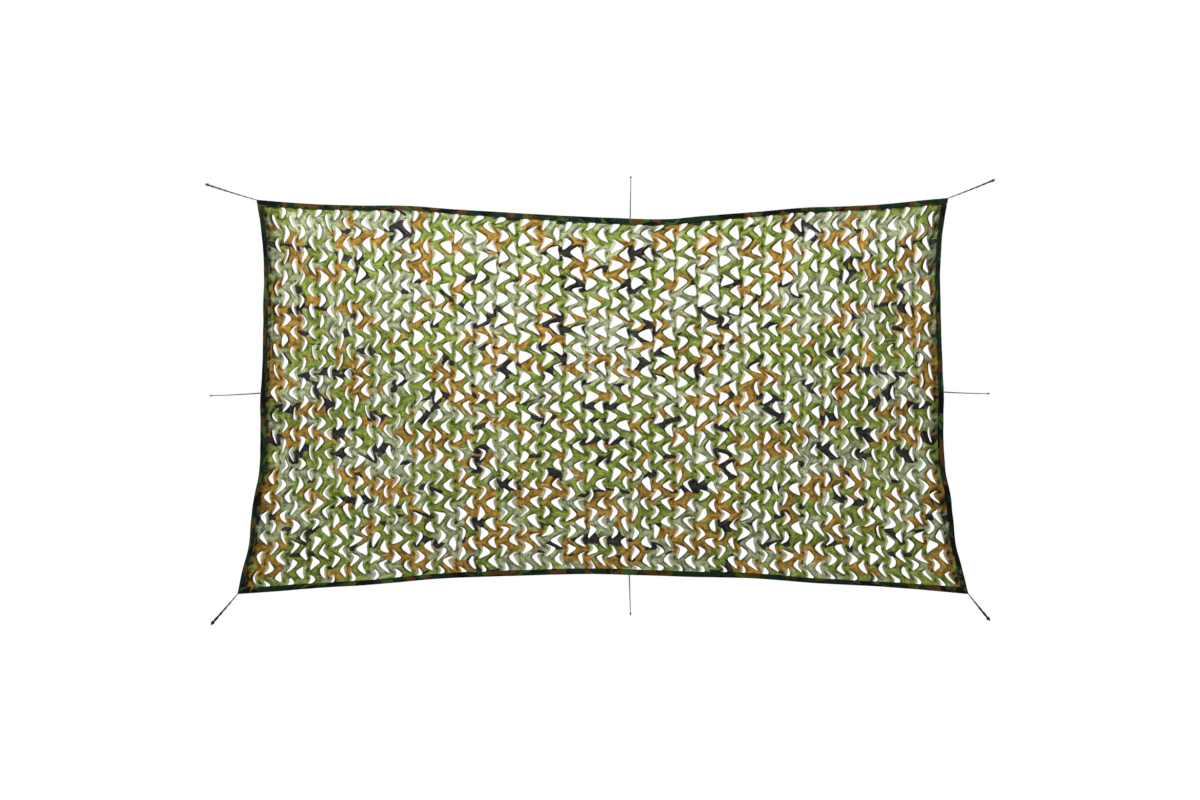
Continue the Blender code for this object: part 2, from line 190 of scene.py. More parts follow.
def proud(across, down):
    """How far the sheet stands towards the front: its belly, plus each fold (a Gaussian across its line, fading
    along it as a squared cosine), plus the puckers."""
    x = np.clip(across * NET_WIDE, UNDER_TAPE, NET_WIDE - UNDER_TAPE)
    y = np.clip(down * NET_TALL, UNDER_TAPE, NET_TALL - UNDER_TAPE)
    height = BELLY * np.sin(math.pi * x / NET_WIDE) * np.sin(math.pi * y / NET_TALL)
    for from_a, from_d, to_a, to_d, high, half_wide in FOLDS:
        start = np.array((from_a * NET_WIDE, from_d * NET_TALL))
        run = np.array((to_a * NET_WIDE, to_d * NET_TALL)) - start
        long = np.hypot(*run)
        ahead = ((x - start[0]) * run[0] + (y - start[1]) * run[1]) / long**2
        aside = ((x - start[0]) * run[1] - (y - start[1]) * run[0]) / long
        fade = np.cos(np.clip(ahead, 0, 1) * math.pi / 2) ** 2
        height = height + high * fade * np.exp(-((aside / half_wide) ** 2))
    height = height + pucker(y, x, RAIL_PUCKER, 0.4) + pucker(NET_TALL - y, x, RAIL_PUCKER, 2.1)
    height = height + pucker(x, y, SIDE_PUCKER, 1.2) + pucker(NET_WIDE - x, y, SIDE_PUCKER, 3.3)
    return height + bunch(x, y, 0.5) + bunch(NET_WIDE - x, y, 2.6)


def hung(across, down, lift=0.0):
    """Points of the hung sheet, moved towards the front (-Y) by lift."""
    across, down = np.broadcast_arrays(np.asarray(across, float), np.asarray(down, float))
    flat = outline(across, down)
    return np.stack((flat[..., 0], -proud(across, down) - lift, flat[..., 1]), -1)


corners = hung([0, 1, 0, 1], [0, 0, 1, 1])
print("net's corners:", np.round(corners, 3).tolist())

# %% [markdown]
# ## Helpers for materials and meshes
# Colours are written as on a screen, but a shader wants linear light. A surface worked out as a grid of points
# becomes a mesh by joining neighbouring points with four-sided faces.

# %% Helpers
def srgb(code):
    """Linear colour of an sRGB hex code: c / 12.92 up to 0.04045, and ((c + 0.055) / 1.055) ** 2.4 above it."""
    channels = np.array([int(code[n : n + 2], 16) for n in (1, 3, 5)]) / 255
    linear = np.where(channels <= 0.04045, channels / 12.92, ((channels + 0.055) / 1.055) ** 2.4)
    return (*linear.tolist(), 1.0)


def add(tree, kind, links=None, out=0, **settings):
    """Add a node and return one of its outputs. `links` maps its inputs to outputs or values."""
    made = tree.nodes.new("ShaderNode" + kind)
    for name, value in settings.items():
        setattr(made, name, value)
    for name, value in (links or {}).items():
        if isinstance(value, bpy.types.NodeSocket):
            tree.links.new(value, made.inputs[name])
        else:
            made.inputs[name].default_value = value
    return made.outputs[out] if made.outputs else None


def new_material(name):
    """An empty node material, and its node tree."""
    made = bpy.data.materials.new(name)
    made.use_nodes = True
    made.node_tree.nodes.clear()
    return made, made.node_tree


def plain_material(name, code, roughness):
    """A material of one colour."""
    material, tree = new_material(name)
    shader = add(tree, "BsdfPrincipled", {"Base Color": srgb(code), "Roughness": roughness})
    add(tree, "OutputMaterial", {"Surface": shader})
    return material


def quads(rows):
    """Faces of a 2-D array of point numbers: a point and its right, lower right and lower neighbours."""
    corners = (rows[:-1, :-1], rows[:-1, 1:], rows[1:, 1:], rows[1:, :-1])
    return np.stack([c.ravel() for c in corners], -1)


def new_piece(name, points, faces, material, smooth=True):
    """An object at the origin, from points and a list of arrays of faces."""
    mesh = bpy.data.meshes.new(name)
    mesh.from_pydata(points.reshape(-1, 3).tolist(), [], [face for part in faces for face in part.tolist()])
    mesh.materials.append(material)
    mesh.polygons.foreach_set("use_smooth", [smooth] * len(mesh.polygons))
    piece = bpy.data.objects.new(name, mesh)
    bpy.context.collection.objects.link(piece)
    return piece


def give_uv(piece, uv):
    """A UV map from one (u, v) per point, in metres of cloth."""
    corner_points = np.empty(len(piece.data.loops), int)
    piece.data.loops.foreach_get("vertex_index", corner_points)
    piece.data.uv_layers.new(name="cloth").uv.foreach_set("vector", uv.reshape(-1, 2)[corner_points].ravel())


print("helpers are ready")

# %% [markdown]
# ## Cord
# The ties are laid cord of a few millimetres: three strands, twisted together. Handling changes the colour
# towards the knot. A picture could carry that, but an attribute that runs from 0 to 1 along the cord needs none.

# %% Cord materials
def cord_material(name, at_net, at_knot, turn_at):
    """Twisted polyester with a soft sheen. Scale 180 makes 5.5 mm of mottle, and 2200 fibres of 0.45 mm."""
    material, tree = new_material(name)
    place = add(tree, "TexCoord", out="Object")
    along = add(tree, "Attribute", out="Fac", attribute_name="along")
    mottle = add(tree, "TexNoise", {"Vector": place, "Scale": 180.0, "Detail": 3.0})
    dirt = add(tree, "Math", {0: mottle, 1: 0.35, 2: along}, operation="MULTIPLY_ADD")
    share = add(tree, "MapRange", {"Value": dirt, "From Min": turn_at, "From Max": 1.15},
                interpolation_type="SMOOTHSTEP")
    colour = add(tree, "Mix", {0: share, 6: srgb(at_net), 7: srgb(at_knot)}, 2, data_type="RGBA")
    fibres = add(tree, "TexNoise", {"Vector": place, "Scale": 2200.0, "Detail": 2.0})
    bump = add(tree, "Bump", {"Height": fibres, "Strength": 0.35, "Distance": 0.0002})
    shader = add(tree, "BsdfPrincipled", {"Base Color": colour, "Roughness": 0.55, "Normal": bump,
                                          "Sheen Weight": 0.25, "Sheen Roughness": 0.4})
    add(tree, "OutputMaterial", {"Surface": shader})
    return material


# kind of tie: name, colour at the net, colour at the knot, where along the cord the second starts
CORD_FINISHES = {
    "upper": ("twisted_polyester_olive_grey", "#5F624C", "#545540", 0.70),
    "lower": ("twisted_polyester_darkened_grey", "#6C6E62", "#12110D", -0.10),
    "thin": ("twisted_polyester_pale_grey", "#595A53", "#92938B", 0.20),
}
cord_finish = {kind: cord_material(*row) for kind, row in CORD_FINISHES.items()}
print("cord materials:", [made.name for made in cord_finish.values()])

# %% [markdown]
# Three strands could be three tubes. One tube whose radius has three ridges, turning as they go along, looks
# the same and is one closed skin. It needs two directions square to its path at each point: the path's direction
# crossed with a fixed one, and then crossed with the result.

# %% A laid cord as a mesh
LOBES = 3  # strands in the cord
LOBE_DEPTH = 0.11  # of the radius


def across_path(path):
    """Unit directions along a path and two square to it, at each of its points."""
    ahead = np.gradient(path, axis=0)
    ahead /= np.linalg.norm(ahead, axis=1, keepdims=True)
    side = np.cross(ahead, (0.0, 1.0, 0.0))
    side /= np.linalg.norm(side, axis=1, keepdims=True)
    return ahead, side, np.cross(side, ahead)


def laid_tube(path, radius, lay, around=15):
    """Points, faces and shares of the length of a cord along a path. At a distance s, its radius towards the
    angle w is r * (1 - depth * (1 - |cos(1.5 * (w - 2 pi s / lay))|))."""
    ahead, side, up = across_path(path)
    run = np.concatenate(((0,), np.cumsum(np.linalg.norm(np.diff(path, axis=0), axis=1))))
    angle = np.linspace(0, 2 * math.pi, around, endpoint=False)
    ridge = np.abs(np.cos(LOBES / 2 * (angle[None] - 2 * math.pi * run[:, None] / lay)))
    reach = np.broadcast_to(radius, run.shape)[:, None] * (1 - LOBE_DEPTH * (1 - ridge))
    ring = np.cos(angle)[None, :, None] * side[:, None] + np.sin(angle)[None, :, None] * up[:, None]
    tube = path[:, None] + reach[..., None] * ring
    ends = np.array((path[0] - ahead[0] * reach[0].mean() * 0.5, path[-1] + ahead[-1] * reach[-1].mean() * 0.5))
    number = np.arange(tube.shape[0] * around).reshape(-1, around)
    wrapped = np.concatenate((number, number[:, :1]), 1)
    first, last = np.full(around, number.size), np.full(around, number.size + 1)
    caps = np.concatenate((np.stack((first, wrapped[0, :-1], wrapped[0, 1:]), -1),
                           np.stack((last, wrapped[-1, 1:], wrapped[-1, :-1]), -1)))
    along = np.concatenate((np.repeat(run / run[-1], around), (0, 1)))
    return np.concatenate((tube.reshape(-1, 3), ends)), (quads(wrapped[:, ::-1]), caps), along


def cord_piece(name, parts, material):
    """An object of several tubes, with the `along` attribute that its colour follows."""
    points, kinds_of_face, along = zip(*parts)
    first = np.cumsum([0] + [len(part) for part in points])
    faces = [some + start for start, kinds in zip(first, kinds_of_face) for some in kinds]
    piece = new_piece(name, np.concatenate(points), faces, material)
    piece.data.attributes.new("along", "FLOAT", "POINT").data.foreach_set("value", np.concatenate(along))
    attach(piece, "root")
    return piece


print("a laid cord has", LOBES, "strands")

# %% [markdown]
# ## The eight ties
# A tie runs straight, with hardly any sag, from inside the folded tape to its knot. A corner tie carries more
# and is a doubled cord: two cords laid round each other, wider apart towards the knot.

# %% Ties
TIE_SAG = 0.0015
IN_THE_FOLD = 0.007  # how far a tie reaches into the tape
STATION = 0.0013  # between two rings of a cord
LAY = 0.011  # length in which the strands turn once
PAIR_LAY = 0.058  # length in which a corner tie's two cords turn once about each other
PAIR_RADIUS = 0.36  # of each of them, as a share of the pair's width
CLEAR = 0.00035  # between two neighbouring pieces
# kind: thick at the net, thick at the knot, cords, then the knot's length, width, turns and cord radius
KINDS = {
    "upper": (0.0045, 0.0095, 2, 0.022, 0.0140, 4, 0.0027),
    "lower": (0.0045, 0.0120, 2, 0.024, 0.0165, 4, 0.0027),
    "thin": (0.0058, 0.0042, 1, 0.014, 0.0090, 3, 0.0018),
}
# place, kind, across, down, end x, end z
TIES = (
    ("top_left", "upper", 0.00, 0.0, -1.7395, 0.1450),
    ("top_middle", "thin", 0.54, 0.0, 0.1170, 0.1825),
    ("top_right", "upper", 1.00, 0.0, 1.7070, 0.1650),
    ("left_middle", "thin", 0.00, 0.49, -1.7220, -0.7780),
    ("right_middle", "thin", 1.00, 0.49, 1.6840, -0.7690),
    ("bottom_left", "lower", 0.00, 1.0, -1.7145, -1.7780),
    ("bottom_middle", "thin", 0.536, 1.0, 0.1155, -1.7360),
    ("bottom_right", "lower", 1.00, 1.0, 1.6830, -1.7600),
)


def tie_route(across, down, end_x, end_z, knot_long):
    """A tie's middle line: straight, less a sag of 4 h t (1 - t), from inside the tape to its knot."""
    edge = hung(across, down)
    end = np.array((end_x, edge[1], end_z))
    direction = (end - edge) / np.linalg.norm(end - edge)
    start, stop = edge - direction * IN_THE_FOLD, end - direction * (knot_long + CLEAR)
    t = np.linspace(0, 1, int(np.linalg.norm(stop - start) / STATION))[:, None]
    sag = 4 * TIE_SAG * t * (1 - t) * abs(direction[0]) * (0, 0, 1)
    return edge, end, start + t * (stop - start) - sag


def tie_cords(route, net_thick, knot_thick, cords):
    """The tubes of a tie. Two cords run on either side of its middle line, at a distance times (cos, sin) of an
    angle that turns once in each PAIR_LAY."""
    t = np.linspace(0, 1, len(route))
    spread = mixed(net_thick, knot_thick, t)
    if cords == 1:
        return [laid_tube(route, spread / 2, LAY)]
    ahead, side, up = across_path(route)
    radius = PAIR_RADIUS * spread
    away = (spread / 2 - radius)[:, None]
    turn = (2 * math.pi * STATION / PAIR_LAY * np.arange(len(route)))[:, None]
    offset = away * (np.cos(turn) * side + np.sin(turn) * up)
    return [laid_tube(route + sign * offset, radius, LAY * 0.7) for sign in (1, -1)]


ties = {}
for place, kind, across, down, end_x, end_z in TIES:
    net_thick, knot_thick, cords, knot_long, *_ = KINDS[kind]
    edge, end, route = tie_route(across, down, end_x, end_z, knot_long)
    tie = cord_piece(f"tie_{place}", tie_cords(route, net_thick, knot_thick, cords), cord_finish[kind])
    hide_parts(f"cord_{place}")
    ties[place] = (tie, kind, edge, end, route)
print("ties:", {place: len(route) for place, (*_, route) in ties.items()}, "stations")

# %% [markdown]
# ## Knots
# Each tie ends in a barrel knot: turns of cord side by side round the tie, with the cut end poking out. What
# crosses inside can't be seen, so its path is only a helix whose radius is smaller at both ends.

# %% Knots
# kind of tie: name, then the colours as for a cord
KNOT_FINISHES = {
    "upper": ("knotted_cord_olive", "#57583F", "#3E3E2C", 0.30),
    "lower": ("knotted_cord_soiled", "#1D1C17", "#12110D", 0.30),
    "thin": ("knotted_cord_grey", "#77786F", "#66675E", 0.30),
}
KNOT_TURN_STEPS = 22
KNOT_BODY = 0.78  # of the knot's length is wound, and the cut end sticks out of the rest
knot_finish = {kind: cord_material(*row) for kind, row in KNOT_FINISHES.items()}


def knot_parts(end, direction, long, wide, turns, cord_radius):
    """The tubes of a barrel knot: a helix of radius R sin(pi t) ** 0.35 round the tie's line, and a stub."""
    side = np.cross(direction, (0.0, 1.0, 0.0))
    side /= np.linalg.norm(side)
    up = np.cross(side, direction)
    t = np.linspace(0.02, 0.98, turns * KNOT_TURN_STEPS)[:, None]
    angle = 2 * math.pi * turns * t
    reach = (wide / 2 - cord_radius) * np.sin(math.pi * t) ** 0.35
    start = end - direction * long
    helix = start + direction * (cord_radius + t * (long * KNOT_BODY - 2 * cord_radius)) + reach * (
        np.cos(angle) * side + np.sin(angle) * up)
    core = start + direction * np.linspace(0.001, long - cord_radius * 0.6, 12)[:, None]
    core = core + side * 0.0006 * np.linspace(0, 1, 12)[:, None] ** 2
    return [laid_tube(helix, cord_radius, LAY * 0.6, 9), laid_tube(core, cord_radius * 0.98, LAY, 12)]


for place, (tie, kind, edge, end, route) in ties.items():
    net_thick, knot_thick, _, *knot_form = KINDS[kind]
    direction = (end - edge) / np.linalg.norm(end - edge)
    knot = cord_piece(f"stopper_{place}", knot_parts(end, direction, *knot_form), knot_finish[kind])
    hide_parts(f"knot_{place}")
print("knots:", len(ties), "with", KNOT_TURN_STEPS, "steps a turn")

# %% [markdown]
# ## The print
# Cloth and tape carry a woodland pattern: a ground colour with blots that lie mostly sideways. Each colour is a
# noise field cut at a level, so its blots have crisp edges. The pattern reads the piece's UV map, in metres of
# flat cloth, so the slits cut through it and each strand carries it along. An image could do this too, but noise
# has no seam and stays sharp from nearby.

# %% Printing one colour over another
def printed(tree, ground, blots, place, softness, noise):
    """The ground colour, and over it each row's colour where its noise is above its level."""
    colour = srgb(ground)
    for seed, scale, flatter, level, code in blots:
        stretched = add(tree, "Mapping", {"Vector": place, "Scale": (1.0, flatter, 1.0)})
        field = add(tree, "TexNoise", {"Vector": stretched, "W": seed, "Scale": scale, **noise},
                    noise_dimensions="4D")
        edge = {"Value": field, "From Min": level - softness, "From Max": level + softness}
        patch = add(tree, "MapRange", edge, interpolation_type="SMOOTHSTEP")
        colour = add(tree, "Mix", {0: patch, 6: colour, 7: srgb(code)}, 2, data_type="RGBA")
    return colour


print("printing is ready")

# %% [markdown]
# ## The edge tape
# A woven strip, printed darker than the cloth, is folded over the raw edge and sewn through. Its section is a U:
# a round fold and two flat legs, pinched at the seam. A strip with Solidify would be as thick everywhere, so this
# section is carried along the edge instead. It follows the hung surface, puckers and all.

# %% Tape material
TAPE_GROUND = "#162F1C"
# seed, blots in a metre, how much longer they are than tall, level, colour
TAPE_BLOTS = (
    (5.7, 12.0, 1.7, 0.575, "#445C26"),
    (3.1, 11.0, 1.7, 0.560, "#5A3B18"),
    (9.4, 10.0, 1.7, 0.560, "#0E100E"),
)
RIB = 0.0012  # between ribs across the tape, coarser than the real 0.5 mm


def tape_material():
    """Printed woven tape: matt, dark green with brown and black blots, faded here and there."""
    material, tree = new_material("printed_polyester_tape")
    uv = add(tree, "UVMap", uv_map="cloth")
    colour = printed(tree, TAPE_GROUND, TAPE_BLOTS, uv, 0.006, {"Detail": 2.0, "Distortion": 0.7})
    fade = add(tree, "TexNoise", {"Vector": uv, "Scale": 30.0, "Detail": 4.0})
    light = add(tree, "MapRange", {"Value": fade, "To Min": 0.75, "To Max": 1.25})
    colour = add(tree, "HueSaturation", {"Color": colour, "Value": light})
    ribs = add(tree, "TexWave", {"Vector": uv, "Scale": 0.314 / RIB, "Distortion": 0.4}, "Fac",
               bands_direction="X")
    bump = add(tree, "Bump", {"Height": ribs, "Strength": 0.3, "Distance": 0.0004})
    shader = add(tree, "BsdfPrincipled", {"Base Color": colour, "Roughness": 0.85, "Normal": bump,
                                          "Specular IOR Level": 0.15})
    add(tree, "OutputMaterial", {"Surface": shader})
    return material


tape_finish = tape_material()
print("tape:", tape_finish.name)

# %% The tape's section
TAPE_THICK = 0.0011
HALF_GAP = 0.0019  # from the sheet's middle to the middle of the tape's thickness
FOLD_DEPTH = 0.0034
SEAM_DEPTH = 0.0215
SWELL, PINCH, PINCH_REACH = 0.0005, 0.00012, 0.0016
LEG_DEPTHS = np.array((0.0, 0.0004, 0.0012, 0.0024, 0.0040, 0.0085, 0.0140, 0.0185, 0.0205, 0.0215, 0.0225,
                       0.0245, TAPE_WIDE))


def leg_height(depth):
    """How far the tape's middle stands off the sheet: a quarter ellipse in the fold, then legs that swell up to
    the seam and are pinched there."""
    fold = np.sqrt(np.clip(1 - (1 - np.clip(depth / FOLD_DEPTH, 0, 1)) ** 2, 0, 1))
    swell = SWELL * np.sin(math.pi * np.clip((depth - FOLD_DEPTH) / (SEAM_DEPTH - FOLD_DEPTH), 0, 1))
    return HALF_GAP * fold + swell - PINCH * np.exp(-(((depth - SEAM_DEPTH) / PINCH_REACH) ** 2))


# up the front leg, round the fold and down the back leg, then half the thickness out and in
leg_line = np.stack((np.concatenate((LEG_DEPTHS[:0:-1], LEG_DEPTHS)),
                     np.concatenate((leg_height(LEG_DEPTHS[:0:-1]), -leg_height(LEG_DEPTHS)))), -1)
leg_slope = np.stack((np.gradient(leg_line[:, 0]), np.gradient(leg_line[:, 1])), -1)
leg_slope /= np.linalg.norm(leg_slope, axis=1, keepdims=True)
to_skin = np.stack((leg_slope[:, 1], -leg_slope[:, 0]), -1) * TAPE_THICK / 2
section = np.concatenate((leg_line + to_skin, (leg_line - to_skin)[::-1]))
print("tape's section:", len(section), "points")

# %% [markdown]
# The tape rolls back a little where the ties pull it least, so less of its width shows there. Each point of the
# section is set off square to the sheet.

# %% The tape's path
TAPE_STATION = 0.0085
# edge: share of the width that shows, at even steps along it
TAPE_SHOWS = {
    "top": (0.95, 0.80, 0.74, 0.90, 1.06, 1.00, 0.78, 0.76, 0.95),
    "bottom": (1.00, 0.80, 0.86, 0.95, 1.00, 0.95, 0.86, 0.80, 1.00),
    "left": (1.00, 0.80, 0.84, 0.80, 0.95, 1.04, 0.90, 0.80, 0.90),
}
TAPE_SHOWS["right"] = TAPE_SHOWS["left"]


def tape_shows(side, along):
    """Share of the tape's width that shows: the table's numbers joined by straight lines, and a short sine."""
    table = TAPE_SHOWS[side]
    return np.interp(along, np.linspace(0, 1, len(table)), table) + 0.025 * np.sin(85 * along + 1)


def edge_place(side, along, depth):
    """Across and down of a place at a share along one edge and a depth in from it."""
    if side in ("top", "bottom"):
        down = depth / NET_TALL
        return along, down if side == "top" else 1 - down
    across = depth / NET_WIDE
    return across if side == "left" else 1 - across, along


def edge_surface(side, along, depth):
    """Points of the sheet near an edge, and the directions square to it: the cross product of its slopes along
    the edge and inwards, turned to the front."""
    step_along, step_in = 0.0008, 0.0006
    point = hung(*edge_place(side, along, depth))
    lengthwise = hung(*edge_place(side, np.clip(along + step_along, 0, 1), depth)) - hung(
        *edge_place(side, np.clip(along - step_along, 0, 1), depth))
    inwards = hung(*edge_place(side, along, depth + step_in)) - point
    square = np.cross(lengthwise, inwards)
    square /= np.linalg.norm(square, axis=-1, keepdims=True)
    return point, square * -np.sign(square[..., 1:2])


print("tape shows", min(map(min, TAPE_SHOWS.values())), "of its width where it rolls back most")

# %% Tapes
UV_STARTS = {"top": 0.0, "bottom": 3.7, "left": 7.9, "right": 11.3}  # so that no two tapes show the same print
RIM_STEP = 0.002


def binding(side):
    """A tape: the closed section, carried along one edge. Each cap joins the outer skin to the inner one."""
    size = NET_WIDE if side in ("top", "bottom") else NET_TALL
    first = 0.0 if side in ("top", "bottom") else (TAPE_WIDE + CLEAR) / NET_TALL
    along = np.linspace(first, 1 - first, int(size / TAPE_STATION))[None, :]
    deep = section[:, :1] * tape_shows(side, along)
    point, square = edge_surface(side, np.broadcast_to(along, deep.shape), np.clip(deep, 0, None))
    rim, _ = edge_surface(side, along, np.zeros_like(along))
    rim_in, _ = edge_surface(side, along, np.full_like(along, RIM_STEP))
    out_of_net = rim - rim_in
    out_of_net /= np.linalg.norm(out_of_net, axis=-1, keepdims=True)
    point = point + out_of_net * np.clip(-deep, 0, None)[..., None]
    point = point + square * section[:, 1:, None]
    number = np.arange(point.shape[0] * point.shape[1]).reshape(point.shape[:2])
    outer_step = np.arange(len(leg_line) - 1)
    inner_step = len(section) - 1 - outer_step
    cap = np.stack((inner_step, inner_step - 1, outer_step + 1, outer_step), -1)
    skins = quads(np.concatenate((number, number[:1])))
    faces = np.concatenate((skins, number[:, 0][cap], number[:, -1][cap][:, ::-1]))
    piece = new_piece(f"tape_{side}", point, [faces[:, ::-1] if side in ("top", "right") else faces], tape_finish)
    round_leg = np.cumsum(np.abs(np.gradient(leg_line[:, 0])))
    around = np.concatenate((round_leg, round_leg[::-1]))
    give_uv(piece, np.stack(np.broadcast_arrays(along * size + UV_STARTS[side], around[:, None]), -1))
    piece.data.set_sharp_from_angle(angle=math.radians(50))
    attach(piece, "root")
    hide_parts(f"binding_{side}")
    return piece


tapes = [binding(side) for side in TAPE_SHOWS]
print("tapes:", {piece.name: len(piece.data.polygons) for piece in tapes})

# %% [markdown]
# ## The cloth
# Sage, orange-brown and black blots lie on green, mirrored about the net's middle. Its tone is uneven at
# random. Painted shade darkens it down in its pleats and a painted highlight lightens its crests, and a curled
# tongue's edge is painted pale, partly for its unprinted back and partly as a painted highlight.

# %% Printed cloth material
GROUND = "#8C9E43"
BLOTS = (  # as for the tape
    (4.3, 6.4, 1.25, 0.517, "#ADB688"),
    (21.7, 7.8, 1.40, 0.536, "#B18B37"),
    (41.6, 8.2, 1.80, 0.612, "#363432"),
)
THREAD = 0.0016  # between threads, coarser than the real 0.5 mm
FADES, WRINKLES = 48.0, 42.0  # in a metre
FADED = {"From Min": 0.30, "From Max": 0.70, "To Min": 0.28, "To Max": 1.84}  # noise to light
PAINTED_SHADE_AND_HIGHLIGHT = {"From Max": 0.85, "To Min": 1.20, "To Max": 0.03}  # painted shade and highlight to brightness: 1.20 on crests, down to 0.03 in pleats
PALE_BACK_SHARE = {"From Min": -0.02, "From Max": -0.55, "To Max": 0.72}  # painted shade attribute to share of the pale colour at a tongue's edge
PALE_BACK_AND_HIGHLIGHT = "#ECE9D8"  # the unprinted back's pale colour, made paler as a painted highlight
SEEN_THROUGH = 0.15  # share of the light that comes through


def cloth_material():
    """Printed plain-weave polyester: matt, thin enough that some light comes through it, with painted shade in its
    pleats and a painted highlight on its crests.
    """
    material, tree = new_material("printed_polyester_cloth")
    uv = add(tree, "UVMap", uv_map="cloth")
    right = add(tree, "SeparateXYZ", {"Vector": uv})
    from_middle = add(tree, "Math", {0: right, 1: NET_WIDE / 2}, operation="SUBTRACT")
    mirrored = add(tree, "Math", {0: from_middle}, operation="ABSOLUTE")
    place = add(tree, "CombineXYZ", {"X": mirrored, "Y": right.node.outputs["Y"]})
    colour = printed(tree, GROUND, BLOTS, place, 0.004, {"Detail": 1.7, "Roughness": 0.45, "Distortion": 0.5})
    painted_shade_and_pale_back = add(tree, "Attribute", out="Fac", attribute_name="painted_shade_and_pale_back")
    fade = add(tree, "TexNoise", {"Vector": uv, "Scale": FADES, "Detail": 4.0, "Roughness": 0.62})
    light = add(tree, "MapRange", {"Value": fade, **FADED})
    # Painted shade in the pleats and a painted highlight on the crests scale the colour's brightness.
    painted_light = add(tree, "MapRange", {"Value": painted_shade_and_pale_back, **PAINTED_SHADE_AND_HIGHLIGHT})
    light = add(tree, "Math", {0: light, 1: painted_light}, operation="MULTIPLY")
    colour = add(tree, "HueSaturation", {"Color": colour, "Value": light})
    # A tongue's edge is painted pale: partly its unprinted back, partly a painted highlight.
    pale_back_and_highlight = add(tree, "MapRange", {"Value": painted_shade_and_pale_back, **PALE_BACK_SHARE}, interpolation_type="SMOOTHSTEP")
    colour = add(tree, "Mix", {0: pale_back_and_highlight, 6: colour, 7: srgb(PALE_BACK_AND_HIGHLIGHT)}, 2, data_type="RGBA")
    threads = {"Vector": uv, "Scale": 0.314 / THREAD, "Distortion": 0.3}
    warp, weft = (add(tree, "TexWave", threads, "Fac", bands_direction=way) for way in "XY")
    weave = add(tree, "Math", {0: warp, 1: weft}, operation="MULTIPLY")
    bump = add(tree, "Bump", {"Height": weave, "Strength": 0.25, "Distance": 0.0004})
    crumple = add(tree, "TexNoise", {"Vector": uv, "Scale": WRINKLES, "Detail": 2.0, "Distortion": 0.6})
    bump = add(tree, "Bump", {"Height": crumple, "Strength": 0.7, "Distance": 0.010, "Normal": bump})
    shader = add(tree, "BsdfPrincipled", {"Base Color": colour, "Roughness": 0.72, "Normal": bump,
                                          "Specular IOR Level": 0.25})
    through = add(tree, "BsdfTranslucent", {"Color": colour, "Normal": bump})
    both = add(tree, "MixShader", {0: SEEN_THROUGH, 1: shader, 2: through})
    add(tree, "OutputMaterial", {"Surface": both})
    return material


cloth_finish = cloth_material()
print("print:", len(BLOTS), "colours on a ground of", GROUND)

# %% [markdown]
# ## The slit sheet
# The slits stand in columns, pointing left in one and right in the next, each column half a pitch lower than its
# neighbour. Cutting them with a Boolean would leave long thin faces that can't bend, so the mesh is laid out round
# them: a lattice of shared points has a line down each side of a column, and every slit has a cell of its own
# between them, three rings of points from the cell's border to the edge of the gap.
# The pattern is cut before the tape is sewn on, so it runs on under the tape.

# %% The slit pattern's grid
COLUMNS, HALF_ROWS = 65, 36
SIDE_STEPS = 3  # points in a half row, down a column's side
SIDE_MARGIN, TOP_MARGIN = 0.042, 0.030  # to the first columns, and to the first row that shows whole
INSET = 0.0036  # depth of the raw edge inside the tape
BORDER_COLUMNS = 3  # steps in the plain border at each side
GATHER = 0.12  # columns are this much narrower at the top's sides and wider in its middle
STRETCH_MIDDLE, STRETCH_SIDE = 0.02, 0.08  # rows are this much taller at the top than their mean


def flat_place(p, q):
    """Metres of cloth from the left edge and from the top, p columns and q half rows into the pattern. Columns
    are 1 - gather * cos(2 pi share) times their mean width, rows 1 + stretch * (1 - 2 fall) times their mean
    height, and the places are the integrals of these. The plain borders lie outside."""
    share, fall = np.clip(p / COLUMNS, 0, 1), np.clip(q / HALF_ROWS, 0, 1)
    gather = GATHER * (1 - fall**3)
    stretch = mixed(STRETCH_MIDDLE, STRETCH_SIDE, (2 * share - 1) ** 2)
    x = (share - gather * np.sin(2 * math.pi * share) / (2 * math.pi)) * (NET_WIDE - 2 * SIDE_MARGIN)
    y = (fall + stretch * fall * (1 - fall)) * (NET_TALL - 2 * TOP_MARGIN)
    border_x = np.clip(p / BORDER_COLUMNS, -1, 0) + np.clip((p - COLUMNS) / BORDER_COLUMNS, 0, 1)
    border_y = np.clip(q, -1, 0) + np.clip(q - HALF_ROWS, 0, 1)
    return x + SIDE_MARGIN + border_x * (SIDE_MARGIN - INSET), y + TOP_MARGIN + border_y * (TOP_MARGIN - INSET)


lattice_p = np.concatenate((np.arange(-BORDER_COLUMNS, 0), np.arange(0, 2 * COLUMNS + 1) / 2,
                            COLUMNS + np.arange(1, BORDER_COLUMNS + 1)))
lattice_q = np.arange(-SIDE_STEPS, SIDE_STEPS * (HALF_ROWS + 1) + 1) / SIDE_STEPS
lattice_p, lattice_q = np.meshgrid(lattice_p, lattice_q)
lattice_number = np.arange(lattice_p.size).reshape(lattice_p.shape)
print("lattice:", lattice_p.shape, "points")

# %% [markdown]
# No net hangs evenly: slow waves drift through the pattern, and each crossing strays a little of its own. All of
# it fades out at the raw edges.

# %% Uneven pull
# height in columns or half rows, turn in a column, turn in a half row, start
DRIFT_OVER = ((0.10, 0.52, 0.31, 1.0), (0.08, -0.37, 0.83, 0.0))
DRIFT_DOWN = ((0.13, 0.41, -0.23, 2.0), (0.10, 0.97, 0.35, 0.0))
UNEVEN_SEED, UNEVEN_OVER, UNEVEN_DOWN = 7, 0.15, 0.17  # each crossing's own stray
uneven = np.random.default_rng(UNEVEN_SEED).uniform(-1, 1, (2, HALF_ROWS + 3, COLUMNS + 3))


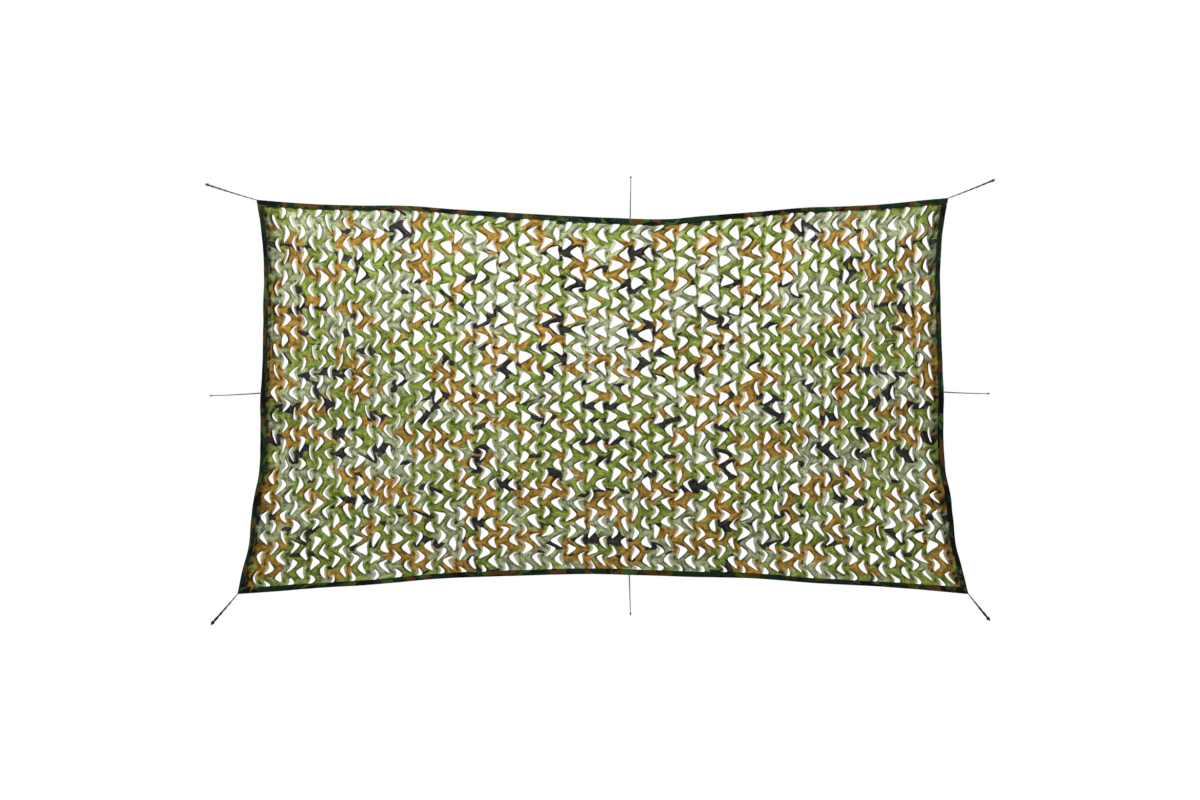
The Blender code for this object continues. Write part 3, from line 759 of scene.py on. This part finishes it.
def mixed_at(table, p, q):
    """A table's numbers, at whole p and q, mixed between them with the weights t^2 (3 - 2 t)."""
    p, q = np.clip(p, -1, COLUMNS + 0.99) + 1, np.clip(q, -1, HALF_ROWS + 0.99) + 1
    left, above = p.astype(int), q.astype(int)
    t, s = p - left, q - above
    t, s = t**2 * (3 - 2 * t), s**2 * (3 - 2 * s)
    upper = (1 - t) * table[above, left] + t * table[above, left + 1]
    return (1 - s) * upper + s * ((1 - t) * table[above + 1, left] + t * table[above + 1, left + 1])


def strayed(p, q):
    """The pattern's places as uneven pull moves them: by the drifts' sines, and each crossing's own stray."""
    nearest = np.minimum(np.minimum(p, COLUMNS - p), np.minimum(q, HALF_ROWS - q)) + 1
    fade = np.clip(nearest / 2, 0, 1)
    over, lower = (sum(high * np.sin(by_p * p + by_q * q + start) for high, by_p, by_q, start in drift)
                   for drift in (DRIFT_OVER, DRIFT_DOWN))
    own_over, own_lower = UNEVEN_OVER * mixed_at(uneven[0], p, q), UNEVEN_DOWN * mixed_at(uneven[1], p, q)
    return p + fade * (over + own_over), q + fade * (lower + own_lower)


print("uneven pull:", uneven[0].size, "crossings")

# %% [markdown]
# Slits gape most in the upper middle, and least near the sides and low down. Where they gape, the strands
# between them are drawn into zigzags, so the lines that their vertices stand on swing further. A cloth simulation
# could pull them open, but a short table is quick, always gives the same net, and can be put right by hand.

# %% How far the slits gape
OPENING_ACROSS = (0.00, 0.10, 0.22, 0.35, 0.50)  # from either side (0) to the middle
# down, then the opening at each place across
OPENING = (
    (0.05, 0.25, 0.45, 0.75, 0.95, 0.90),
    (0.20, 0.15, 0.30, 0.70, 0.95, 0.85),
    (0.35, 0.10, 0.15, 0.45, 0.80, 0.80),
    (0.50, 0.05, 0.10, 0.30, 0.55, 0.65),
    (0.65, 0.05, 0.15, 0.25, 0.35, 0.45),
    (0.80, 0.15, 0.30, 0.30, 0.30, 0.35),
    (0.95, 0.35, 0.50, 0.50, 0.50, 0.50),
)
VERTEX_SWING_THIN, VERTEX_SWING_OPEN, TIPS_SWING = 0.12, 0.36, 0.15  # in column widths


def opening_at(x, y):
    """How far slits gape at a place in metres of cloth: the table's numbers, mixed both ways."""
    to_side = 0.5 - np.abs(x / NET_WIDE - 0.5)
    by_row = np.array([np.interp(to_side, OPENING_ACROSS, row[1:]) for row in OPENING])
    place = np.interp(y / NET_TALL, [row[0] for row in OPENING], range(len(OPENING)))
    above = np.minimum(place.astype(int), len(OPENING) - 2)
    upper, lower = (np.take_along_axis(by_row, above[None] + step, 0)[0] for step in (0, 1))
    return mixed(upper, lower, place - above)


# 1 on the lines that vertices stand on (even), 0 on the lines between tips (odd)
on_vertex_line = np.abs(1 - lattice_p % 2)
past_pattern = np.maximum(np.maximum(-lattice_p, lattice_p - COLUMNS), 0) / BORDER_COLUMNS
lattice_opening = opening_at(*flat_place(lattice_p, lattice_q))
swing = mixed(TIPS_SWING, mixed(VERTEX_SWING_THIN, VERTEX_SWING_OPEN, lattice_opening), on_vertex_line)
swayed_p = lattice_p + (1 - past_pattern) * swing * np.cos(math.pi * lattice_q)
print("swing of the lines:", np.round((swing.min(), swing.max()), 2), "columns")

# %% [markdown]
# A slit's gap lies between two arcs from tip to tip, each drawn towards a corner of its own. Chance varies how
# far each opens and where its corners lie, and some gape along both arms.

# %% The slits
OPENING_CHANCE, TIP_CHANCE, INNER_CHANCE, SEED = 0.19, 0.09, 0.15, 11
LEAST_OPENING, MOST_OPENING, INNER_LEAST = -0.1, 1.1, 0.3
BEND_CHANCE, UPPER_REACH, VERTEX_REACH = 0.18, 0.56, 0.27  # in columns
OPEN_LESS = 0.6  # how much less an open slit bends
NOTCH = 0.38  # how far, in columns, a flat tongue may stick into its gap
HELD_OPENING, HELD_ROWS = 0.35, 2.5  # the tape holds the slits beside it nearly shut

# A slit whose vertex points left. Across is in columns from the column's left side, up in half rows from the
# vertex: corner, across when thin, across when open, up when thin, up when open
SLIT = (
    ("upper_tip", 0.32, 0.50, 0.62, 0.60),
    ("lower_tip", 0.74, 0.86, -0.84, -0.74),
    ("outer_corner", 0.08, -0.44, 0.00, 0.04),
    ("inner_corner", 0.40, 0.74, 0.12, 0.34),
    ("cut_corner", 0.02, 0.02, 0.04, 0.04),
)

column, top_row = np.meshgrid(np.arange(COLUMNS), np.arange(-1, HALF_ROWS))
has_slit = (column + top_row) % 2 == 0
column, top_row = column[has_slit], top_row[has_slit]
slits = len(column)
chance = np.random.default_rng(SEED)

opening = opening_at(*flat_place(column + 0.5, top_row + 1.0))
opening = np.clip(opening + OPENING_CHANCE * chance.normal(0, 1, slits), LEAST_OPENING, MOST_OPENING)
rows_from_tape = np.minimum(top_row + 1, HALF_ROWS - 1 - top_row)
opening = opening * np.clip(HELD_OPENING + (1 - HELD_OPENING) * rows_from_tape / HELD_ROWS, 0, 1)
notch = chance.uniform(0, 1, slits) ** 2
corner_of = {}
for name, thin_over, open_over, thin_up, open_up in SLIT:
    spot = np.stack((mixed(thin_over, open_over, opening), mixed(thin_up, open_up, opening)), -1)
    corner_of[name] = spot + TIP_CHANCE * chance.uniform(-1, 1, spot.shape)
upper, lower, outer_corner, inner_corner, cut_corner = corner_of.values()
inner_corner[:, 0] -= NOTCH * notch * opening
inner_corner += INNER_CHANCE * np.clip(opening, INNER_LEAST, 1)[:, None] * chance.uniform(-1, 1, (slits, 2))
both_arms = (1 - OPEN_LESS * opening) * chance.uniform(0, 1, slits)
upper[:, 0] += UPPER_REACH * both_arms
bend = BEND_CHANCE * (1 - OPEN_LESS * opening) * chance.uniform(-1, 1, slits) - VERTEX_REACH * both_arms
outer_corner[:, 0] += bend
inner_corner[:, 0] += bend
print("slits:", slits, "opening", np.round((opening.min(), opening.max()), 2))

# %% [markdown]
# Each gap gets a ring of points, and its cell the lattice points round it, in the same order. Slits that point
# right have their columns counted the other way. The gap's edge as it was cut gives the print its place.

# %% Rings round each gap
OUTER_POINTS, INNER_POINTS = 10, 6  # the outer arc's points include both tips
OUTER_SHARP, INNER_SHARP_THIN, INNER_SHARP_OPEN = 2.6, 2.2, 1.6
BLUNT = 0.13  # the tongue's edge ends this far, in columns, from the other, so a slit's ends are blunt
BLUNT_DROP = 0.6  # and at the upper tip it ends lower, by this much of it
RIM = 0.10  # cloth left between a gap and its vertex line, in columns
side_run = np.arange(SIDE_STEPS, -SIDE_STEPS - 1, -1)
loop_half = np.concatenate(((1,), np.zeros(len(side_run), int), (1,), np.full(len(side_run), 2)))  # half columns
loop_up = np.concatenate(((SIDE_STEPS,), side_run, (-SIDE_STEPS,), side_run[::-1]))  # lattice rows
points_left = column % 2 == 0
near_line = column + np.where(points_left, 0, 1)
towards = np.where(points_left, 1, -1)
ring_number = lattice_number[
    SIDE_STEPS * (top_row[:, None] + 2) - loop_up[None],
    BORDER_COLUMNS + 2 * near_line[:, None] + towards[:, None] * loop_half[None]]


def arc(start, corner, end, sharp, t):
    """A rational quadratic arc: its start, corner and end have the weights (1 - t)^2, 2 * sharp * t (1 - t) and
    t^2, each divided by their sum."""
    weights = np.stack(np.broadcast_arrays((1 - t) ** 2, 2 * sharp[:, None] * t * (1 - t), t**2), -1)
    weights = weights / weights.sum(-1, keepdims=True)
    return (weights[..., None] * np.stack((start, corner, end), 1)[:, None]).sum(2)


def pattern_place(spots):
    """p and q of spots given by (columns from the vertex side, half rows up from the vertex)."""
    return near_line[:, None] + towards[:, None] * spots[..., 0], top_row[:, None] + 1 - spots[..., 1]


t_outer, t_inner = np.linspace(0, 1, OUTER_POINTS), np.linspace(0.06, 0.94, INNER_POINTS)
outer_sharp = np.full(slits, OUTER_SHARP)
inner_sharp = mixed(INNER_SHARP_THIN, INNER_SHARP_OPEN, opening * (1 - notch))
# the middle of the outer arc, (tips / 2 + sharp * corner) / (1 + sharp), keeps the rim
vertex_line = towards * (swayed_p.ravel()[ring_number[:, 1 + SIDE_STEPS]] - near_line)
furthest = ((vertex_line + RIM) * (1 + OUTER_SHARP) - 0.5 * (upper[:, 0] + lower[:, 0])) / OUTER_SHARP
outer_corner[:, 0] = np.maximum(outer_corner[:, 0], furthest)
tongue_from = lower + (BLUNT, 0)
tongue_to = upper + BLUNT * (1 - both_arms[:, None]) * (1, -BLUNT_DROP)
gap = np.concatenate((arc(upper, outer_corner, lower, outer_sharp, t_outer),
                      arc(tongue_from, inner_corner, tongue_to, inner_sharp, t_inner)), 1)
cut = np.concatenate((arc(upper, cut_corner, lower, outer_sharp, t_outer),
                      arc(lower, cut_corner, upper, outer_sharp, t_inner)), 1)
gap_p, gap_q = pattern_place(gap)
ring_p, ring_q = swayed_p.ravel()[ring_number], lattice_q.ravel()[ring_number]
middle_p, middle_q = 0.5 * (gap_p + ring_p), 0.5 * (gap_q + ring_q)
print("rings:", gap_p.shape[1], "points round each gap")

# %% [markdown]
# A strand is bent forwards along its middle and its edges fall back. A slit's tongue is free on three sides: it
# curls forwards, out of a pleat on the line between the tips. One attribute carries painted shade for the colour:
# 1 in a pleat or beside an edge that falls back, down to -1 at a tongue's edge, which is painted pale, partly
# for its unprinted back and partly as a painted highlight. Strands also differ in tone at random.

# %% Relief and painted shade
CREST, PLEAT = 0.0050, 0.0090  # how far the vertex lines stand forward and the tips lines back
RELIEF_THIN, RELIEF_OPEN = 0.4, 1.0  # of that, beside thin slits and open ones
CURL_THIN, CURL_OPEN, CURL_RANGE = 0.0050, 0.0095, (0.5, 1.25)  # how far the tongue's edge comes forward
OUTER_DROP, DROP_RANGE = 0.0060, (0.4, 1.5)  # how far the other edge goes back
MIDDLE_RING = 0.42  # of the way from the cell's border to the gap's lift
PINCH_UP = 0.35  # half rows above each vertex, where a line between tips is pinched most
EDGE_TURNS, TURN_RANGE = 0.55, (0.1, 1.0)  # how often a tongue's edge is painted pale, for its unprinted back and as a painted highlight
STRAND_TONE = 0.32  # how much strands differ in tone
# painted shade on the lines between tips, and more where they are pinched
PLEAT_PAINTED_SHADE, PINCH_PAINTED_SHADE = 0.12, 0.80
EDGE_PAINTED_SHADE, EDGE_PAINTED_SHADE_MORE, EDGE_SHADE_RANGE = 0.36, 0.40, (0.4, 1.3)  # painted shade beside a gap's outer arc, where the edge falls back
# share of the painted shade in the middle ring, and the palest that a pale edge makes it there
MIDDLE_PAINTED_SHADE, TURNED_MIDDLE = 0.45, -0.75

curl = mixed(CURL_THIN, CURL_OPEN, opening) * chance.uniform(*CURL_RANGE, slits)
drop = OUTER_DROP * chance.uniform(*DROP_RANGE, slits)
gap_lift = np.concatenate((-drop[:, None] * np.sin(math.pi * t_outer),
                           curl[:, None] * np.sin(math.pi * t_inner) ** 1.2), 1)
lattice_lift = mixed(RELIEF_THIN, RELIEF_OPEN, lattice_opening) * (on_vertex_line * (CREST + PLEAT) - PLEAT)
pinch = 0.5 + 0.5 * np.cos(2 * math.pi * (lattice_q + PINCH_UP))
lattice_painted_shade = (1 - on_vertex_line) * (PLEAT_PAINTED_SHADE + PINCH_PAINTED_SHADE * pinch**2)
pale_rim = np.clip(chance.uniform(*TURN_RANGE, slits) / EDGE_TURNS, 0, 1)
painted_edge_shade = EDGE_PAINTED_SHADE + EDGE_PAINTED_SHADE_MORE * np.sin(math.pi * t_outer)
painted_edge_shade = chance.uniform(*EDGE_SHADE_RANGE, (slits, 1)) * painted_edge_shade
gap_shade_and_pale_back = np.concatenate((painted_edge_shade, -pale_rim[:, None] * np.sin(math.pi * t_inner) ** 0.5), 1)
ring_lift, ring_painted_shade = lattice_lift.ravel()[ring_number], lattice_painted_shade.ravel()[ring_number]
middle_lift = mixed(ring_lift, gap_lift, MIDDLE_RING)
tone = STRAND_TONE * chance.uniform(-1, 1, (slits, 1))
middle_shade_and_pale_back = MIDDLE_PAINTED_SHADE * (ring_painted_shade + np.clip(gap_shade_and_pale_back, TURNED_MIDDLE, 1)) + tone
print("tongues curl", np.round((1000 * curl.min(), 1000 * curl.max()), 1), "mm forwards")

# %% [markdown]
# The rings now go on to the hung surface. Close to the tape the cloth lies flat, so the relief starts a little
# way in, and beside the side tapes the gathered cloth gets painted shade, in waves, for its folds.

# %% The sheet's points
FLAT_TO, LOOSE_FROM = 0.027, 0.048  # no relief to this depth from the edge, and full relief from this one
FRONT_LIMIT = 0.0555  # the furthest forward that a tongue may reach
# painted shade beside the side tapes, in waves as of gathered folds
SIDE_SHADE, SIDE_SHADE_REACH = 0.95, 0.028
BUNCH_MEAN, BUNCH_VARIES = 0.55, 0.45
BUNCH_UP, BUNCH_IN, BUNCH_SLOW, BUNCH_START = 61, 110, 23, 2.0  # radians in a metre up, in and slowly up


def hung_pattern(p, q, lift):
    """Points of the hung sheet at places of the slit pattern."""
    x, y = flat_place(*strayed(p, q))
    depth = np.minimum(np.minimum(x, NET_WIDE - x), np.minimum(y, NET_TALL - y))
    loose = np.clip((depth - FLAT_TO) / (LOOSE_FROM - FLAT_TO), 0, 1)
    across, down = x / NET_WIDE, y / NET_TALL
    return hung(across, down, np.minimum(lift * loose, FRONT_LIMIT - proud(across, down))).reshape(-1, 3)


def cloth_uv(p, q):
    """Metres of flat cloth, before it was pulled, right and up."""
    x, y = flat_place(p, q)
    return np.stack((x, NET_TALL - y), -1)


flat_ring = cloth_uv(lattice_p, lattice_q).reshape(-1, 2)
flat_gap = cloth_uv(*pattern_place(cut))
flat_middle = 0.5 * (flat_gap + flat_ring[ring_number])
points = np.concatenate((hung_pattern(swayed_p, lattice_q, lattice_lift),
                         hung_pattern(middle_p, middle_q, middle_lift), hung_pattern(gap_p, gap_q, gap_lift)))
uv = np.concatenate((flat_ring, flat_middle.reshape(-1, 2), flat_gap.reshape(-1, 2)))
painted_shade_and_pale_back = np.concatenate((lattice_painted_shade.ravel(), middle_shade_and_pale_back.ravel(), gap_shade_and_pale_back.ravel()))
# Beside the side tapes, painted shade is added in waves to the attribute that darkens the colour.
side_depth = np.minimum(uv[:, 0], NET_WIDE - uv[:, 0]) - TAPE_WIDE
waves = np.sin(BUNCH_UP * uv[:, 1] + BUNCH_IN * side_depth) * np.sin(BUNCH_SLOW * uv[:, 1] + BUNCH_START)
shade = SIDE_SHADE * (BUNCH_MEAN + BUNCH_VARIES * waves)
painted_shade_and_pale_back = np.clip(painted_shade_and_pale_back + shade * np.exp(-np.clip(side_depth, 0, None) / SIDE_SHADE_REACH), -1, 1)
print("sheet:", len(points), "places")

# %% [markdown]
# Two bands of four-sided faces join the three rings of every cell, and the lattice has faces of its own where
# there is no slit. Solidify gives the cloth its thickness, half to each side.

# %% The sheet
CLOTH_THICK = 0.0010
middle_number = lattice_number.size + np.arange(middle_p.size).reshape(middle_p.shape)
edge_number = middle_number + middle_p.size
faces = []
for outer, inner in ((ring_number, middle_number), (middle_number, edge_number)):
    band = np.stack((outer, np.roll(outer, -1, 1), np.roll(inner, -1, 1), inner), -1)
    band[~points_left] = band[~points_left][..., ::-1]
    faces.append(band.reshape(-1, 4))
free = np.ones((lattice_p.shape[0] - 1, lattice_p.shape[1] - 1), bool)
slit_rows = SIDE_STEPS * (top_row[:, None, None] + 1) + np.arange(2 * SIDE_STEPS)[None, :, None]
slit_columns = BORDER_COLUMNS + 2 * column[:, None, None] + np.arange(2)[None, None]
free[slit_rows, slit_columns] = False
faces = np.concatenate((*faces, quads(lattice_number)[free.ravel()][:, ::-1]))

used = np.unique(faces)
renumber = np.zeros(len(points), int)
renumber[used] = np.arange(len(used))
sheet = new_piece("slit_sheet", points[used], [renumber[faces]], cloth_finish)
give_uv(sheet, uv[used])
sheet.data.attributes.new("painted_shade_and_pale_back", "FLOAT", "POINT").data.foreach_set("value", painted_shade_and_pale_back[used])
wall = sheet.modifiers.new("wall", "SOLIDIFY")
wall.thickness = CLOTH_THICK
wall.offset = 0
solid = bpy.data.meshes.new_from_object(sheet.evaluated_get(bpy.context.evaluated_depsgraph_get()))
sheet.modifiers.clear()
sheet.data = solid
sheet.data.name = "slit_sheet"
sheet.data.set_sharp_from_angle(angle=math.radians(60))
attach(sheet, "root")
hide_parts("net_panel")
print("sheet:", len(sheet.data.vertices), "points,", 2 * len(sheet.data.polygons), "triangles")

# %% [markdown]
# ## Sewing
# A lockstitch near the tape's free edges shows as a row of short dashes on both faces. A bump could draw them,
# but real ones stand proud, so each dash is a small bent tube whose ends dip into the tape.

# %% Stitches
STITCH, STITCH_GAP, THREAD_RADIUS = 0.0046, 0.0016, 0.00038
FROM_END = 0.006  # from the tape's end to the first stitch
# share of the stitch, height of the thread's middle over the tape
DASH = ((0.00, -0.00030), (0.15, 0.00012), (0.85, 0.00012), (1.00, -0.00030))
thread_finish = plain_material("polyester_sewing_thread", "#1B2A1A", 0.5)


def stitches(side, face):
    """Points and faces of the dashes on one face (1 front, -1 back) of a tape: a four-sided tube for each."""
    size = NET_WIDE if side in ("top", "bottom") else NET_TALL
    first = FROM_END if side in ("top", "bottom") else TAPE_WIDE + FROM_END
    starts = np.arange(first, size - first - STITCH, STITCH + STITCH_GAP)
    share, height = np.array(DASH).T
    along = (starts[:, None] + share * STITCH)[..., None] / size
    corner = np.array(((0, 1), (1, 0), (0, -1), (-1, 0))) * THREAD_RADIUS
    depth = np.broadcast_to(SEAM_DEPTH + corner[:, 0], (*along.shape[:2], 4))
    point, square = edge_surface(side, np.broadcast_to(along, depth.shape), depth * tape_shows(side, along))
    skin = leg_height(np.array(SEAM_DEPTH)) + TAPE_THICK / 2
    point = point + face * square * (skin + height[None, :, None] + corner[:, 1])[..., None]
    number = np.arange(point[..., 0].size).reshape(point.shape[:-1])
    wrapped = np.concatenate((number, number[..., :1]), -1)
    sides = np.stack((wrapped[:, :-1, :-1], wrapped[:, :-1, 1:], wrapped[:, 1:, 1:], wrapped[:, 1:, :-1]), -1)
    return point.reshape(-1, 3), np.concatenate((sides.reshape(-1, 4), number[:, 0, ::-1], number[:, -1]))


runs = [stitches(side, face) for side in TAPE_SHOWS for face in (1, -1)]
run_first = np.cumsum([0] + [len(run_points) for run_points, _ in runs])
sewing = new_piece("tape_stitching", np.concatenate([run_points for run_points, _ in runs]),
                   [run_faces + first for (_, run_faces), first in zip(runs, run_first)], thread_finish)
shell = bmesh.new()
shell.from_mesh(sewing.data)
bmesh.ops.recalc_face_normals(shell, faces=shell.faces)
shell.to_mesh(sewing.data)
shell.free()
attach(sewing, "root")
print("stitching:", len(sewing.data.polygons), "faces")

# %% [markdown]
# ## Light and surroundings
# A plain white studio: one large soft lamp high on the left models the strands, another lights the back, and a
# pale floor lies just below the picture.

# %% Studio
FLOOR_Z, FLOOR_WIDE, FLOOR_DEEP = -2.95, 5.0, 3.0
WORLD_LIGHT = 0.26  # the white surroundings light the net with this, while the camera sees them at 1
world = bpy.data.worlds.new("white_studio")
world.use_nodes = True
background = world.node_tree.nodes["Background"]
background.inputs["Color"].default_value = (1, 1, 1, 1)
seen = add(world.node_tree, "LightPath", out="Is Camera Ray")
strength = add(world.node_tree, "MapRange", {"Value": seen, "To Min": WORLD_LIGHT, "To Max": 1.0})
world.node_tree.links.new(strength, background.inputs["Strength"])
bpy.context.scene.world = world
bpy.context.scene.view_settings.view_transform = "Standard"  # so that a white wall is white in the picture

floor_corners = np.array(((-1, -1), (1, -1), (1, 1), (-1, 1))) * (FLOOR_WIDE / 2, FLOOR_DEEP / 2)
floor = new_piece("floor", np.column_stack((floor_corners, np.full(4, FLOOR_Z))), [np.array(((0, 1, 2, 3),))],
                  plain_material("pale_floor", "#E4E4E2", 0.8), smooth=False)


def soft_lamp(name, place, target, size, watts):
    """A square area lamp that faces a target."""
    lamp = bpy.data.objects.new(name, bpy.data.lights.new(name, "AREA"))
    lamp.data.size = size
    lamp.data.energy = watts
    lamp.location = place
    lamp.rotation_euler = (Vector(target) - Vector(place)).to_track_quat("-Z", "Y").to_euler()
    bpy.context.collection.objects.link(lamp)


soft_lamp("key", (-0.7, -2.3, 2.9), (0.0, 0.0, -0.3), 0.9, 175.0)
soft_lamp("back_fill", (2.0, 4.0, 1.5), (0.0, 0.0, -0.8), 2.5, 120.0)
print("lamps:", [lamp.name for lamp in bpy.data.lights])
